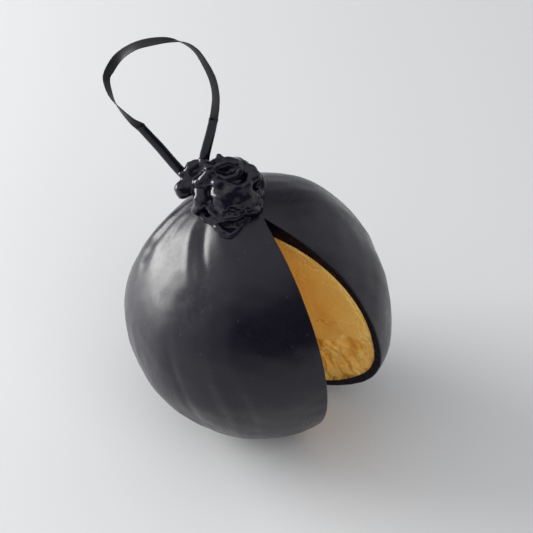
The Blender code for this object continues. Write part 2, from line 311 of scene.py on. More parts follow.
# %% The two planes and the line where they meet
LEFT_NORMAL = Vector((0.898, 0.430, 0.093)).normalized()
LEFT_OFFSET = 3.7 * MM
RIGHT_NORMAL = Vector((0.526, 0.833, 0.173)).normalized()
RIGHT_OFFSET = 4.6 * MM
cut_line = LEFT_NORMAL.cross(RIGHT_NORMAL).normalized()
meeting = Matrix((LEFT_NORMAL, RIGHT_NORMAL, cut_line)).inverted() @ Vector((LEFT_OFFSET, RIGHT_OFFSET, 0))
HUB = MIDDLE + np.array(meeting)
along_left = LEFT_NORMAL.cross(cut_line).normalized()
along_left *= -math.copysign(1, along_left.y)
along_right = RIGHT_NORMAL.cross(cut_line).normalized()
along_right *= -math.copysign(1, along_right.y)
cut_angle = along_left.angle(along_right)
# The skins start at the left cut and turn away from the slice, right round to the right cut.
sideways = along_left.cross(cut_line).normalized()
if sideways.dot(along_right) > 0:
    sideways.negate()
FULL_SWEEP = math.tau - cut_angle
print("the slice is", round(math.degrees(cut_angle), 1), "degrees wide")


def segment_ways(turns, tilts):
    """Unit directions from the hub, one for each turn about the cut line and each tilt up from level."""
    flat = np.outer(np.cos(turns), np.array(along_left)) + np.outer(np.sin(turns), np.array(sideways))
    level = np.cos(tilts)[None, :, None] * flat[:, None, :]
    return level + np.sin(tilts)[None, :, None] * np.array(cut_line)[None, None, :]


def reach_skin(ways, radius_of):
    """Where each direction from the hub meets the skin at the given radius from the ball's middle."""
    shape = ways.shape
    ways = ways.reshape(-1, 3)
    reach = np.full(len(ways), BALL_RADIUS)
    for _ in range(6):
        points = HUB + ways * reach[:, None] - MIDDLE
        length = np.linalg.norm(points, axis=1)
        outward = points / length[:, None]
        reach += (radius_of(outward) - length) / np.einsum("ij,ij->i", outward, ways)
    return (HUB + ways * reach[:, None]).reshape(shape)


# %% [markdown]
# ## The wax coat
# The real coat is a shell: the skin that you see, the cut edge that shows how thick it is, and an inside
# that only the cheese touches. All of it is one closed body here too, so light can't leak in.
#
# Four grids make it. The outer grid is fine, because it carries pleats, creases and hand waves as real
# relief. The inner grid can be coarse around, as nobody sees it. Between them, two narrow bands fill the
# cut edges. The grids share their end points, so the body closes by itself.

# %% A builder for meshes made of grids
class Mesher:
    """Collects points and four-sided faces, and joins points that share a place."""

    def __init__(self):
        self.points = []
        self.faces = []
        self.finishes = []
        self.count = 0

    def grid(self, places, flip=False, finish=0):
        """Adds a grid of points, rows by columns, with a face between each four of them."""
        rows, columns = places.shape[:2]
        index = self.count + np.arange(rows * columns).reshape(rows, columns)
        corners = [index[:-1, :-1], index[1:, :-1], index[1:, 1:], index[:-1, 1:]]
        if flip:
            corners.reverse()
        self.faces.append(np.stack(corners, axis=-1).reshape(-1, 4))
        self.finishes.append(np.full((rows - 1) * (columns - 1), finish))
        self.points.append(places.reshape(-1, 3))
        self.count += rows * columns

    def finish(self, name, merge=0.01 * MM):
        mesh = bpy.data.meshes.new(name)
        mesh.from_pydata(np.concatenate(self.points).tolist(), [], np.concatenate(self.faces).tolist())
        mesh.polygons.foreach_set("material_index", np.concatenate(self.finishes))
        shape = bmesh.new()
        shape.from_mesh(mesh)
        bmesh.ops.remove_doubles(shape, verts=shape.verts, dist=merge)
        bmesh.ops.dissolve_degenerate(shape, edges=shape.edges, dist=merge / 10)
        bmesh.ops.recalc_face_normals(shape, faces=shape.faces)
        shape.to_mesh(mesh)
        shape.free()
        made = bpy.data.objects.new(name, mesh)
        bpy.context.collection.objects.link(made)
        print(name, "has", len(mesh.vertices), "points and", len(mesh.polygons), "faces")
        return made


def smooth_shaded(piece, sharp=None):
    piece.data.shade_smooth()
    if sharp is not None:
        piece.data.set_sharp_from_angle(angle=math.radians(sharp))


# %% Relief on the outside of the wax
CREASES = (  # turn, height, half width in degrees, where it starts and ends down from the knot
    (234, -0.30 * MM, 2.2, 72, 125),
    (254, 0.35 * MM, 3.0, 78, 130),
    (262, -0.25 * MM, 2.0, 84, 128),
    (205, 0.25 * MM, 3.5, 60, 115),
    (20, 0.3 * MM, 4.0, 55, 120),
    (75, -0.3 * MM, 3.0, 60, 125),
    (120, 0.3 * MM, 3.5, 70, 130),
)
HAND_WAVES = ((0.16 * MM, 26 * MM, 3), (0.035 * MM, 9 * MM, 4))  # height, length and seed


def dressed_radius(ways):
    """The outside of the wax with its creases and hand waves."""
    down = np.degrees(angle_from(ways, KNOT_AXIS))
    turn = turn_about_knot(ways)
    radius = outer_radius(ways)
    places = ways * BALL_RADIUS
    for height, length, seed in HAND_WAVES:
        radius += height * waviness(places, length, seed)
    for place, height, half_width, start, end in CREASES:
        away = (turn - place - 3 * np.sin(down / 13) + 180) % 360 - 180
        fade = 1 / (1 + np.exp(-(down - start) / 4)) / (1 + np.exp((down - end) / 5))
        radius += height * fade * np.exp(-((away / half_width) ** 2))
    return radius


def rest_flat(points):
    """Presses what would lie under the table top flat on it."""
    points[..., 2] = np.maximum(points[..., 2], 0)
    return points


# %% Build the coat
TURN_STEPS = 340
TILT_STEPS = 190
BAND_STEPS = 8
EDGE_ROUND = 0.35 * MM
EDGE_CROWDING = 0.92  # the steps crowd towards the two cuts, where the edge is rounded
DRAG_HEIGHT = 0.05 * MM  # the marks that the knife left across the cut edge of the wax
DRAG_LENGTH = 1.6 * MM


def edge_drop(points):
    """How far the skin is rounded down where the knife broke its edge, by the distance to the nearer cut."""
    from_middle = points - MIDDLE
    in_front = (from_middle @ np.array(along_left) > 0, from_middle @ np.array(along_right) > 0)
    to_left = np.abs(from_middle @ np.array(LEFT_NORMAL) - LEFT_OFFSET)
    to_right = np.abs(from_middle @ np.array(RIGHT_NORMAL) - RIGHT_OFFSET)
    nearest = np.minimum(np.where(in_front[0], to_left, 1), np.where(in_front[1], to_right, 1))
    inside = np.clip(EDGE_ROUND - nearest, 0, EDGE_ROUND)
    return EDGE_ROUND - np.sqrt(EDGE_ROUND**2 - inside**2)


def build_coat():
    tilts = np.linspace(-math.pi / 2, math.pi / 2, TILT_STEPS + 1)
    shares = np.linspace(0, 1, TURN_STEPS + 1)
    turns = FULL_SWEEP * (shares - EDGE_CROWDING * np.sin(math.tau * shares) / math.tau)
    outer = reach_skin(segment_ways(turns, tilts), dressed_radius)
    outward = (outer - MIDDLE) / np.linalg.norm(outer - MIDDLE, axis=-1, keepdims=True)
    outer -= edge_drop(outer)[..., None] * outward
    outer = rest_flat(outer)
    rough_turns = np.linspace(0, FULL_SWEEP, TURN_STEPS // 6 + 1)
    inner = reach_skin(segment_ways(rough_turns, tilts), inner_radius)
    mesher = Mesher()
    mesher.grid(outer)
    mesher.grid(inner, flip=True)
    for edge, normal in ((0, LEFT_NORMAL), (-1, RIGHT_NORMAL)):
        shares = np.linspace(0, 1, BAND_STEPS + 1)[:, None, None]
        band = outer[edge][None] * (1 - shares) + inner[edge][None] * shares
        drag = waviness(band.reshape(-1, 3) * [1, 1, 0.3], DRAG_LENGTH, seed=8).reshape(band.shape[:2])
        drag[0] = drag[-1] = 0
        band = band + DRAG_HEIGHT * drag[..., None] * np.array(normal)
        mesher.grid(band, finish=1)
    return mesher.finish("wax_coat_skin")


coat = build_coat()
smooth_shaded(coat, sharp=50)

# %% [markdown]
# ## The cheese
# The cheese fills the wax, less a hair's breadth. Nearly all of it is hidden, so its round skin can be
# coarse. What counts is the two cut faces, and above all the one that looks out of the cut.
#
# A knife leaves cheddar smooth but not flat: there are faint drag waves, small holes where curds met,
# fine cracks, and a crumbly rim where the paste parts from the wax. Low on the face the slice broke
# away before the knife reached it, so the paste is torn. Each of these is a small function of the place
# on the face, and their sum moves the points of a fine grid in or out. Real relief keeps its shadows
# from every side, which a bump texture would not.

# %% Places on a cut face
FACE_TILTS = 330
FACE_STEPS = 118
CHEESE_TURNS = 40


def paste_radius(ways):
    return inner_radius(ways) - FIT_GAP


def face_places(points, outward):
    """How far out from the line of the cuts, and how far up along it, each point of a cut face lies."""
    from_hub = points - HUB
    return from_hub @ np.array(outward), from_hub @ np.array(cut_line)


def bump_along(out, up, start, end, half_width):
    """1 along a short line on the face, falling softly to 0 at its sides and ends."""
    start, end = np.array(start) * MM, np.array(end) * MM
    span = end - start
    share = ((out - start[0]) * span[0] + (up - start[1]) * span[1]) / (span @ span)
    share = np.clip(share, 0, 1)
    gap = np.hypot(out - start[0] - share * span[0], up - start[1] - share * span[1])
    return np.exp(-((gap / (half_width * MM)) ** 2)) * (0.35 + 0.65 * np.sin(math.pi * share) ** 0.5)


# %% Relief of the cut faces
CRACKS = (  # corners of each crack as (out, up) in mm, its half width and depth in mm
    (((19.0, -1.2), (21.5, 1.6), (23.2, 2.2), (26.0, 4.0), (28.5, 6.3)), 0.32, 0.75),
    (((22.6, 2.0), (24.0, 0.9), (26.4, 2.2)), 0.26, 0.5),
    (((14.2, 29.6), (16.8, 31.5), (18.4, 30.4), (20.6, 30.9)), 0.28, 0.45),
    (((16.8, 31.5), (15.6, 34.2)), 0.25, 0.4),
    (((29.8, 27.0), (32.9, 24.0), (35.3, 19.9), (38.1, 15.0), (40.1, 10.5)), 0.30, 0.5),
    (((30.0, 8.6), (33.5, 10.4), (35.2, 10.0)), 0.25, 0.35),
    (((24.5, 12.5), (27.0, 13.8)), 0.25, 0.3),
)
PITS = 100
RIM_PITS = 48  # small holes are closest together near the wax
PIT_REACH = 40.0
TEAR_START, TEAR_SLOPE = -24.5, 0.72  # the torn part lies under up = start + slope * out
HOLLOWS = ((32.0, -5.6, 2.6, 2.1), (26.6, -9.5, 1.6, 0.9), (36.8, -2.6, 1.3, 0.8), (24, -19, 2.2, 1.1),
           (33, -17, 2.0, 0.9), (15, -27, 2.4, 1.0))  # out, up, size and depth in mm


def torn_share(out, up, seed):
    """0 where the knife cut, 1 where the paste was torn."""
    places = np.stack([out, up, np.zeros_like(out)], axis=1)
    line = (TEAR_START + TEAR_SLOPE * out / MM) * MM + 1.3 * MM * waviness(places, 7 * MM, seed)
    return 1 / (1 + np.exp((up - line) / (0.45 * MM)))


def paste_relief(out, up, to_rim, seed, torn):
    """How far the cut face stands proud of its plane, in metres."""
    places = np.stack([out, up, np.full_like(out, seed * 0.1)], axis=1)
    height = 0.16 * MM * waviness(places, 17 * MM, seed + 1)
    height += 0.016 * MM * waviness(places, 2.6 * MM, seed + 2)
    height += 0.008 * MM * waviness(places, 1.1 * MM, seed + 3)
    random = np.random.default_rng(seed)
    for _ in range(PITS):
        spot_out, spot_up = random.uniform(1, PIT_REACH), random.uniform(-38, 34)
        size, depth = random.uniform(0.20, 0.45), random.uniform(0.10, 0.32)
        gap = np.hypot(out / MM - spot_out, (up / MM - spot_up) * random.uniform(0.9, 1.8))
        height -= depth * MM * np.exp(-((gap / size) ** 2))
    for _ in range(RIM_PITS):
        reach, angle = random.uniform(34, 39), math.radians(random.uniform(-20, 75))
        size, depth = random.uniform(0.16, 0.36), random.uniform(0.15, 0.38)
        gap = np.hypot(out / MM - reach * math.cos(angle), up / MM - reach * math.sin(angle))
        height -= depth * MM * np.exp(-((gap / size) ** 2))
    for corners, half_width, depth in CRACKS:
        wander = 0.25 * MM * waviness(places, 2.0 * MM, seed + 5)
        line = np.zeros_like(out)
        for start, end in zip(corners, corners[1:]):
            line = np.maximum(line, bump_along(out + wander, up + wander, start, end, half_width))
        height -= depth * MM * line
    # The rim crumbles: it drops off at the wax, with small lumps along it.
    rim = np.exp(-((to_rim / (0.75 * MM)) ** 2))
    lumps = waviness(places, 1.7 * MM, seed + 6)
    height -= rim * (0.28 + 0.16 * lumps) * MM
    near_rim = np.exp(-(((to_rim - 1.3 * MM) / (0.8 * MM)) ** 2))
    height += near_rim * 0.07 * MM * waviness(places, 1.3 * MM, seed + 7)
    if torn:
        share = torn_share(out, up, seed + 8)
        swells = waviness(places, 9.0 * MM, seed + 9)
        curds = np.abs(waviness(places, 4.4 * MM, seed + 10))
        crumbs = np.abs(waviness(places, 1.7 * MM, seed + 11))
        grains = waviness(places, 0.8 * MM, seed + 12)
        rough = -0.9 + 0.42 * swells - 0.26 * curds + 0.14 * crumbs + 0.05 * grains
        height = height * (1 - 0.6 * share) + share * rough * MM
        for spot_out, spot_up, size, depth in HOLLOWS:
            gap = np.hypot(out / MM - spot_out, (up / MM - spot_up) * 1.3) / size
            height -= share * depth * MM / (1 + np.exp((gap - 1) * 5)) * (1 + 0.2 * lumps)
        height -= 0.35 * MM * np.exp(-(((share - 0.5) / 0.3) ** 2)) * (0.6 + 0.4 * lumps)
    return height


# %% Build the cheese
def build_cheese():
    tilts = np.linspace(-math.pi / 2, math.pi / 2, FACE_TILTS + 1)
    turns = np.linspace(0, FULL_SWEEP, CHEESE_TURNS + 1)
    skin = reach_skin(segment_ways(turns, tilts), paste_radius)
    mesher = Mesher()
    mesher.grid(skin)
    faces = (
        (0, LEFT_NORMAL, along_left, 40, False),
        (-1, -RIGHT_NORMAL, along_right, 60, True),
    )
    for edge, outside, outward, seed, torn in faces:
        rim = skin[edge]
        shares = (np.linspace(0, 1, FACE_STEPS + 1) ** 0.8)[:, None, None]
        face = HUB + (rim[None] - HUB) * shares
        flat = face.reshape(-1, 3)
        out, up = face_places(flat, outward)
        to_rim = (np.linalg.norm(rim - HUB, axis=1)[None] * (1 - shares[..., 0])).reshape(-1)
        relief = paste_relief(out, up, to_rim, seed, torn)
        relief *= 1 - np.exp(-((out / (1.2 * MM)) ** 2))
        moved = (flat + relief[:, None] * np.array(outside)).reshape(face.shape)
        moved[-1] = rim
        mesher.grid(moved)
    return mesher.finish("cheese_paste")


cheese = build_cheese()
smooth_shaded(cheese)

# %% [markdown]
# ## The gathered knot
# Above the ball the wrap was twisted shut, tied with the ribbon, and its loose top folded over. Wax then
# ran into every fold, so the knot looks like a small crumpled cloth that has been glazed.
#
# Sculpting it by hand would be one way. Here each fold is a string of beads instead: a few places and
# radii, with balls set closely between them. A voxel remesh melts all the beads into one skin, and a
# smooth pass rounds it as wax does. Folds that cross or touch keep a crease between them, which is just
# what a dipped fold has.

# %% The folds
CORE = ((-8, -0.5, 43.5, 8.5), (-8, 0, 47, 7.6), (-8, 0.5, 50.5, 6.6), (-8.5, 3, 53, 4.8), (-9, 6, 55.5, 4))
FOLDS = (
    # the folded top, its lip and the small drop on it
    ((-15.5, 5, 57.5, 2), (-13, 5.5, 58.5, 2.2), (-10, 6, 59, 2.4), (-6.5, 6, 58.3, 2.2),
     (-4, 5, 56.8, 2), (-2.5, 3, 56.3, 1.8)),
    ((-14, 6.5, 57.5, 2), (-11, 7.5, 57.8, 2.2), (-7, 7.5, 57.2, 2.2), (-4, 6.5, 55.8, 2)),
    ((-17, 5.2, 57.3, 1.5), (-15.5, 4.3, 58.8, 1.7), (-12.5, 4.2, 59.6, 1.8), (-9.5, 4.5, 60, 1.8),
     (-7, 5.3, 59.8, 1.7), (-4.6, 6.2, 58.6, 1.5)),
    ((-12, 7.5, 60.2, 1.3), (-12, 7, 58.5, 1.5)),
    ((-4, 5.5, 57, 1.8), (-1.5, 5, 57, 1.8)),
    # the ear and the side beside the cut
    ((-1, 5, 56, 1.5), (0.5, 4, 54.4, 1.5), (1, 2.2, 52.6, 1.6), (0, 0, 52, 1.5)),
    ((0, 0, 51, 2), (0, -1, 49, 2), (0, -2, 46.5, 2)),
    # the swirl round the hollow
    ((-16.5, 2.5, 56.5, 1.6), (-14.2, 0, 57, 1.9), (-11.5, -2.2, 56.3, 2.1), (-8, -3, 55.6, 2.2),
     (-5, -2.2, 55.4, 2.1), (-2.8, 0.2, 55.8, 1.9), (-2.2, 3, 56.6, 1.6), (-3.2, 5, 57.6, 1.4)),
    ((-11.5, 1.8, 57.2, 1.3), (-9.2, 0.6, 57.2, 1.4), (-6.8, 1.2, 57.6, 1.3), (-5.6, 3.2, 58.4, 1.2)),
    ((-8.5, 3.6, 58.2, 1.1), (-7.4, 2.6, 57.8, 1.1)),
    # the column on the left that ends in a hanging drop
    ((-17.8, 1.2, 54.8, 3), (-16.4, 1.3, 56.2, 3), (-15, 1.5, 57.6, 2.8)),
    ((-18.3, 0.7, 53.5, 2.4), (-18.2, -1.9, 52.6, 2.5), (-18, -4.2, 51.4, 2.3)),
    ((-18, -3.6, 51.4, 2.2), (-18.6, -3.6, 49.6, 1.9), (-19.4, -3, 47.5, 2.1)),
    # the broad front: one large bulge on the left and a flatter one on the right
    ((-12.6, -2.4, 54.2, 2.9), (-11.4, -4, 52.8, 3.6), (-10.2, -5.2, 51, 3.8), (-9.6, -6, 49, 3)),
    ((-6.6, -3.2, 54, 3.3), (-3.8, -2.8, 52.8, 3.4), (-2.6, -2.6, 51, 3.2), (-4.4, -3.6, 50, 3.4)),
    ((-9.5, -3.4, 55, 2.6), (-7, -4.8, 52.4, 2.8), (-6.2, -5.4, 50.4, 2.4)),
    ((-15.6, -4.6, 50.8, 1.7), (-13.8, -6.4, 49.2, 1.7), (-11, -7.9, 48.2, 1.7), (-8, -8, 48.4, 1.8),
     (-5.4, -6.6, 49, 1.8), (-2.8, -5.2, 48.6, 1.9), (-0.6, -3.8, 47.6, 1.7)),
    # the lumps round the ribbon's ends
    ((-20, 6, 58.5, 1.9), (-22, 5, 57.5, 1.8), (-21, 3.5, 55.5, 1.8), (-19, 4.5, 56.5, 2.2),
     (-16, 4, 54, 2.6)),
    ((-24, 4.5, 56, 1.7), (-22, 4, 55, 1.8), (-23, 2.5, 54, 2), (-24, 1, 52, 3)),
    ((-17.5, 6.5, 59, 1.7), (-16.5, 5.5, 57.5, 2.2), (-13, 4, 55, 3)),
    ((-22, 3, 54.5, 2.4), (-20.5, 1.5, 52.5, 2.2), (-17.5, 1, 50, 3)),
    # the tongue that hangs down the front
    ((-18, -2, 46, 1.9), (-16.5, -5, 45.3, 1.7), (-14, -7.5, 44.3, 1.6), (-11.5, -10, 43.6, 1.5),
     (-8.5, -11.5, 43, 1.5)),
    ((-15.5, -3, 45.3, 3), (-12.5, -5.3, 44.6, 2.8), (-9.5, -7.3, 43.8, 2.2), (-8.5, -9, 43.2, 1.8)),
    ((-3.5, -3.5, 46, 2), (-4, -5.5, 45, 1.8), (-5.5, -8, 44, 1.7), (-7.3, -10.8, 43.2, 1.5)),
    ((-10.5, -5.5, 47.6, 1.6), (-8.5, -7, 46.8, 1.5), (-6.8, -8.2, 45.2, 1.3)),
    ((-5, -2.5, 45.5, 2.4), (-2, -2.5, 45, 2), (0.5, -2, 44, 1.6)),
)
BACK_FOLDS = ((18, 6, 2.6), (50, -9, 2.4), (82, 8, 2.8), (112, -7, 2.4), (142, 6, 2.5), (168, -4, 2.0))
BACK_MIDDLE = (-8.5, 1.0)
BACK_HEIGHTS = (44.5, 48.0, 52.0, 56.0)
BACK_REACH = (9.0, 8.6, 7.6, 7.4)
KNOT_VOXEL = 0.36 * MM
KNOT_PITS = ((-8.4, -8.2, 51.2, 1.1), (-6.4, -8, 50, 1.0), (-3, -6.6, 49.8, 1.0), (-10.2, -9, 50.4, 0.8))
PIT_DEPTH = 1.1 * MM
KNOT_WAVES = ((0.22 * MM, 6.0 * MM, 21), (0.05 * MM, 2.6 * MM, 22))  # height, length and seed


def fold_chains():
    chains = [CORE, *FOLDS]
    for turn, lean, radius in BACK_FOLDS:
        chain = []
        for step, (height, reach) in enumerate(zip(BACK_HEIGHTS, BACK_REACH)):
            angle = math.radians(turn + lean * (-1) ** step)
            x = BACK_MIDDLE[0] + reach * math.cos(angle)
            y = BACK_MIDDLE[1] + reach * math.sin(angle)
            chain.append((x, y, height, radius))
        chains.append(chain)
    return chains


def curve_through(points, steps):
    """A smooth curve through the points, with this many steps between each two. It works in any dimension."""
    points = [np.array(point, dtype=float) for point in points]
    ends = [2 * points[0] - points[1], *points, 2 * points[-1] - points[-2]]
    fine = []
    for before, start, end, after in zip(ends, ends[1:], ends[2:], ends[3:]):
        for step in range(steps):
            t = step / steps
            bend = 2 * before - 5 * start + 4 * end - after
            twist = 3 * (start - end) + after - before
            fine.append(0.5 * (2 * start + (end - before) * t + bend * t**2 + twist * t**3))
    fine.append(points[-1])
    return np.array(fine)


# %% Melt the folds into one piece of wax
def beads_mesh(name, beads):
    """One mesh with a small ball for each (x, y, z, radius) in mm, measured from the ball's middle."""
    shape = bmesh.new()
    bmesh.ops.create_icosphere(shape, subdivisions=3, radius=1)
    ball = bpy.data.meshes.new("bead")
    shape.to_mesh(ball)
    shape.free()
    points = np.array([corner.co for corner in ball.vertices])
    faces = np.array([face.vertices for face in ball.polygons])
    beads = np.array(beads)
    places = MIDDLE + (beads[:, None, :3] + beads[:, None, 3:] * points[None]) * MM
    corners = faces[None] + len(points) * np.arange(len(beads))[:, None, None]
    mesh = bpy.data.meshes.new(name)
    mesh.from_pydata(places.reshape(-1, 3).tolist(), [], corners.reshape(-1, 3).tolist())
    return mesh


def build_knot():
    beads = [bead for chain in fold_chains() for bead in curve_through(chain, 8)]
    mesh = beads_mesh("knot_beads", beads)
    raw = bpy.data.objects.new("knot_beads", mesh)
    bpy.context.collection.objects.link(raw)
    fuse = raw.modifiers.new("fuse", "REMESH")
    fuse.mode = "VOXEL"
    fuse.voxel_size = KNOT_VOXEL
    soften = raw.modifiers.new("soften", "SMOOTH")
    soften.factor = 0.5
    soften.iterations = 4
    graph = bpy.context.evaluated_depsgraph_get()
    melted = bpy.data.meshes.new_from_object(raw.evaluated_get(graph))
    bpy.data.objects.remove(raw)
    places = np.empty(len(melted.vertices) * 3)
    melted.vertices.foreach_get("co", places)
    places = places.reshape(-1, 3)
    normals = np.empty(len(melted.vertices) * 3)
    melted.vertices.foreach_get("normal", normals)
    normals = normals.reshape(-1, 3)
    for height, length, seed in KNOT_WAVES:
        places += normals * (height * waviness(places, length, seed))[:, None]
    for x, y, z, size in KNOT_PITS:
        gap = np.linalg.norm(places - MIDDLE - np.array((x, y, z)) * MM, axis=1) / (size * MM)
        places -= normals * (PIT_DEPTH * np.exp(-(gap**2)))[:, None]
    # The knife that cut the slice also shaved the knot's side.
    from_middle = places - MIDDLE
    left = from_middle @ np.array(LEFT_NORMAL) - LEFT_OFFSET
    right = RIGHT_OFFSET - from_middle @ np.array(RIGHT_NORMAL)
    inside = (left > 0) & (right > 0)
    pull = np.where(left < right, left, 0)
    push = np.where(left < right, 0, right)
    places -= inside[:, None] * (pull[:, None] * np.array(LEFT_NORMAL))
    places += inside[:, None] * (push[:, None] * np.array(RIGHT_NORMAL))
    melted.vertices.foreach_set("co", places.reshape(-1))
    melted.update()
    knot = bpy.data.objects.new("gathered_knot", melted)
    bpy.context.collection.objects.link(knot)
    print("the knot has", len(melted.polygons), "faces")
    return knot


knot = build_knot()
smooth_shaded(knot)

# %% [markdown]
# ## The ribbon and its dipped ends
# The loop is a plain satin ribbon, 3 mm wide and as thin as paper. It was held while the ball was
# dipped, so wax climbed a little way up both its ends and stiffened them. That is why it stands.
#
# A ribbon is a strip swept along a curve. What makes it a ribbon and not a wire is the twist, so each
# point of the route carries its own turn: 0 shows the full width to the front, 90 shows only the edge.
# The dipped ends are the same sweep with a thicker, rounder section that swells towards the knot.

# %% A strip swept along a route
LOOP_FRONT = Vector((0, -1, 1)).normalized()
ROUTE = (  # x, y, z in mm, and the ribbon's turn in degrees
    (-37.2, 9.6, 115.5, 25), (-40.2, 10.2, 117.8, 55), (-44.2, 11.2, 122.7, 84),
    (-46.6, 12.2, 127.4, 116), (-47.6, 13.3, 132.4, 134), (-46.4, 14.0, 135.8, 156),
    (-43.4, 14.9, 140.2, 192), (-38.8, 15.6, 143.5, 208), (-34.0, 16.0, 145.0, 208),
    (-28.0, 16.1, 145.8, 232), (-23.0, 15.9, 144.9, 272), (-19.2, 15.4, 142.2, 292),
    (-16.2, 14.3, 137.4, 306), (-14.0, 13.3, 132.0, 315), (-13.1, 12.2, 126.6, 320),
    (-13.3, 11.1, 122.0, 330), (-13.9, 10.2, 118.0, 336),
)
RIBBON_WIDTH = 3.0 * MM
RIBBON_THICKNESS = 0.28 * MM


def sweep(name, stations, section):
    """A closed strip: section(share) gives the (across, through) outline at each share of the way."""
    middles = stations[:, :3] * MM
    ahead = np.gradient(middles, axis=0)
    ahead /= np.linalg.norm(ahead, axis=1)[:, None]
    across = np.cross(ahead, np.array(LOOP_FRONT))
    across /= np.linalg.norm(across, axis=1)[:, None]
    through = np.cross(across, ahead)
    turn = np.radians(stations[:, 3])[:, None]
    wide = across * np.cos(turn) + through * np.sin(turn)
    thin = through * np.cos(turn) - across * np.sin(turn)
    shape = bmesh.new()
    rings = []
    for index in range(len(stations)):
        outline = section(index / (len(stations) - 1))
        ring = [shape.verts.new(middles[index] + wide[index] * u + thin[index] * v) for u, v in outline]
        rings.append(ring)
    sides = len(rings[0])
    for lower, upper in zip(rings, rings[1:]):
        for side in range(sides):
            following = (side + 1) % sides
            shape.faces.new((lower[side], lower[following], upper[following], upper[side]))
    shape.faces.new(rings[0])
    shape.faces.new(rings[-1])
    bmesh.ops.recalc_face_normals(shape, faces=shape.faces)
    mesh = bpy.data.meshes.new(name)
    shape.to_mesh(mesh)
    shape.free()
    made = bpy.data.objects.new(name, mesh)
    bpy.context.collection.objects.link(made)
    return made


# %% The ribbon
RIBBON_COLUMNS = 8


def ribbon_section(share):
    """A flat outline, very slightly cupped, with one row of points on each side."""
    across = np.linspace(-0.5, 0.5, RIBBON_COLUMNS + 1) * RIBBON_WIDTH
    cup = 0.10 * MM * (1 - (2 * across / RIBBON_WIDTH) ** 2)
    top = [(u, c + RIBBON_THICKNESS / 2) for u, c in zip(across, cup)]
    bottom = [(u, c - RIBBON_THICKNESS / 2) for u, c in zip(across[::-1], cup[::-1])]
    return top + bottom


ribbon_line = curve_through(ROUTE, 12)
ribbon = sweep("satin_ribbon", ribbon_line, ribbon_section)
smooth_shaded(ribbon, sharp=60)

# %% The dipped ends
LEFT_END = (
    (-20.6, 4.9, 95.0, 10), (-23.0, 5.6, 97.6, 14), (-26.5, 6.6, 101.7, 18), (-31.6, 8.1, 108.5, 22),
    (-34.6, 8.9, 112.2, 25), (-37.6, 9.75, 115.9, 25),
)
RIGHT_END = (
    (-17.6, 6.2, 99.0, 168), (-17.0, 7.4, 104.5, 166), (-16.1, 8.3, 108.6, 164),
    (-15.0, 9.2, 113.0, 160), (-13.85, 10.25, 118.3, 156),
)
END_SIDES = 20


def end_section(share):
    """A rounded flat outline, thickest at the knot, that ends in a rolled lip of wax."""
    lip = 0.12 * math.exp(-(((share - 0.985) / 0.02) ** 2))
    width = (1.78 - 0.22 * share + lip) * MM
    thickness = (1.25 - 0.45 * share + lip) * MM
    outline = []
    for side in range(END_SIDES):
        angle = math.tau * side / END_SIDES
        outline.append((width * math.cos(angle), thickness * math.sin(angle)))
    return outline


left_end = sweep("dipped_end_left", curve_through(LEFT_END, 14), end_section)
right_end = sweep("dipped_end_right", curve_through(RIGHT_END, 14), end_section)
for end in (left_end, right_end):
    smooth_shaded(end, sharp=60)

# %% [markdown]
# ## Black wax
# The wax is a dense black with a slight violet cast, and its shine is satin: a lamp's reflection has a
# soft border. Where hands and table rubbed it, the shine is duller, and there are fine scratches, mostly
# up and down, and tiny specks where air escaped.
#
# So colour hardly varies, and roughness and bump do the work. Broad noise makes the duller patches,
# noise stretched along the ball makes the scratches, and a cell texture with a tight threshold makes
# the specks. Object coordinates keep all of it at true size and fixed to the ball.

# %% Helpers for node finishes
def add_node(tree, kind, **values):
    """A node with the given settings; a name that is a socket sets the socket's value."""
    node = tree.nodes.new(kind)
    for name, value in values.items():
        if hasattr(node, name):
            setattr(node, name, value)
        else:
            node.inputs[name.replace("_", " ")].default_value = value
    return node


def object_places(tree, stretch=(1, 1, 1)):
    """The place on the object, stretched along its axes."""
    places = tree.nodes.new("ShaderNodeTexCoord")
    mapping = tree.nodes.new("ShaderNodeMapping")
    mapping.inputs["Scale"].default_value = stretch
    tree.links.new(places.outputs["Object"], mapping.inputs["Vector"])
    return mapping.outputs["Vector"]


def noise(tree, places, scale, detail=3.0, roughness=0.5):
    node = add_node(tree, "ShaderNodeTexNoise", Scale=scale, Detail=detail, Roughness=roughness)
    tree.links.new(places, node.inputs["Vector"])
    return node.outputs["Fac"]


def remap(tree, value, low, high, new_low, new_high):
    node = tree.nodes.new("ShaderNodeMapRange")
    settings = (("From Min", low), ("From Max", high), ("To Min", new_low), ("To Max", new_high))
    for socket, number in settings:
        node.inputs[socket].default_value = number
    tree.links.new(value, node.inputs["Value"])
    return node.outputs["Result"]


def combine(tree, operation, first, second):
    node = add_node(tree, "ShaderNodeMath", operation=operation)
    for socket, value in zip(node.inputs, (first, second)):
        if isinstance(value, (int, float)):
            socket.default_value = value
        else:
            tree.links.new(value, socket)
    return node.outputs["Value"]


def mix_colours(tree, share, first, second):
    node = tree.nodes.new("ShaderNodeMix")
    node.data_type = "RGBA"
    tree.links.new(share, node.inputs["Factor"])
    for socket, colour in ((node.inputs[6], first), (node.inputs[7], second)):
        if isinstance(colour, tuple):
            socket.default_value = (*colour, 1)
        else:
            tree.links.new(colour, socket)
    return node.outputs[2]


def add_bump(tree, shader, height, distance, strength=1.0):
    bump = add_node(tree, "ShaderNodeBump", Distance=distance, Strength=strength)
    tree.links.new(height, bump.inputs["Height"])
    tree.links.new(bump.outputs["Normal"], shader.inputs["Normal"])


